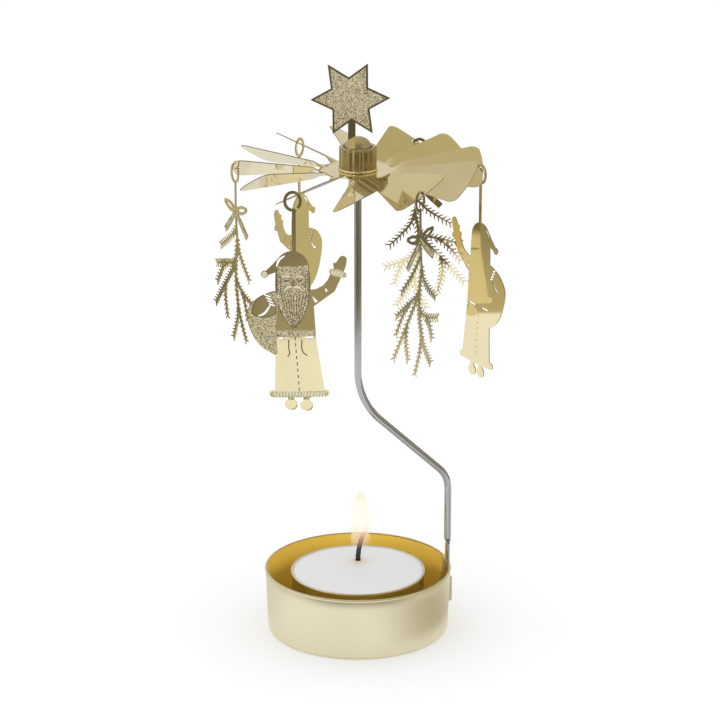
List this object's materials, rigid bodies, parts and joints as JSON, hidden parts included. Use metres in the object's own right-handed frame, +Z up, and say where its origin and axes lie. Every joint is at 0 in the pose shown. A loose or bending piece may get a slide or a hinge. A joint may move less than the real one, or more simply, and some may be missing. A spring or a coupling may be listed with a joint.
{
  "type": "candle carousel",
  "caption": "Tealight cup with a bent wire rod that carries a turning bladed rotor hung with flat figure and fir sprig ornaments.",
  "frame": {"origin": "centre of the cup's flat underside, on the rotor's axis", "axes": "+Z up along the rotor's axis; -Y faces the viewer of the front; +X is the viewer's right"},
  "size_m": [0.0801, 0.0812, 0.1639],
  "materials": {
    "cup": "satin pale gold outside, brighter golden inside",
    "rod": "plain drawn steel wire",
    "tealight_cup": "thin rolled aluminium",
    "wax": "paraffin wax, stated as matte plastic",
    "wick": "braided cotton, charred at its end",
    "sustainer": "thin stamped metal",
    "propeller": "polished pale gold sheet",
    "bearing_cap": "polished drawn sheet",
    "collar": "polished fluted sheet",
    "star": "etched sheet with a dark bright border",
    "figure": "polished sheet with etched texture",
    "sprig": "polished etched sheet"
  },
  "bodies": {
    "stand": {"base_cup": "cup", "rod": "rod"},
    "tealight": {"tealight_cup": "tealight_cup", "candle_wax": "wax", "wick": "wick", "wick_sustainer": "sustainer"},
    "rotor": {"propeller": "propeller", "bearing_cap": "bearing_cap", "fluted_collar": "collar", "star": "star"},
    "hung_figure_front": {"figure_front": "figure"},
    "hung_figure_right": {"figure_right": "figure"},
    "hung_figure_rear": {"figure_rear": "figure"},
    "hung_sprig_front": {"sprig_front": "sprig"},
    "hung_sprig_rear": {"sprig_rear": "sprig"},
    "hung_sprig_left": {"sprig_left": "sprig"}
  },
  "joints": [
    {"name": "rotor_spin", "type": "hinge", "parent": "stand", "child": "rotor", "pos_m": [0, 0, 0.1421], "axis": [0, 0, 1], "continuous": true},
    {"name": "tealight_lift", "type": "slide", "parent": "stand", "child": "tealight", "axis": [0, 0, 1], "range_m": [0, 0.02]},
    {"name": "figure_front_swing", "type": "hinge", "parent": "rotor", "child": "hung_figure_front", "pos_m": [-0.0158, -0.02874, 0.13421], "axis": [-0.9141, -0.0191, -0.405], "range_deg": [-12, 25]},
    {"name": "figure_right_swing", "type": "hinge", "parent": "rotor", "child": "hung_figure_right", "pos_m": [0.03279, 0.00069, 0.13421], "axis": [0.4736, -0.7821, -0.405], "range_deg": [-12, 25]},
    {"name": "figure_rear_swing", "type": "hinge", "parent": "rotor", "child": "hung_figure_rear", "pos_m": [-0.01699, 0.02806, 0.13421], "axis": [0.4405, 0.8012, -0.405], "range_deg": [-12, 25]},
    {"name": "sprig_front_swing", "type": "hinge", "parent": "rotor", "child": "hung_sprig_front", "pos_m": [0.01699, -0.02806, 0.13421], "axis": [-0.4791, -0.7727, -0.4163], "range_deg": [-12, 25]},
    {"name": "sprig_rear_swing", "type": "hinge", "parent": "rotor", "child": "hung_sprig_rear", "pos_m": [0.0158, 0.02874, 0.13421], "axis": [0.9181, 0.116, -0.3791], "range_deg": [-12, 25]},
    {"name": "sprig_left_swing", "type": "hinge", "parent": "rotor", "child": "hung_sprig_left", "pos_m": [-0.03279, -0.00069, 0.13421], "axis": [-0.4296, 0.8013, -0.4163], "range_deg": [-12, 25]}
  ]
}
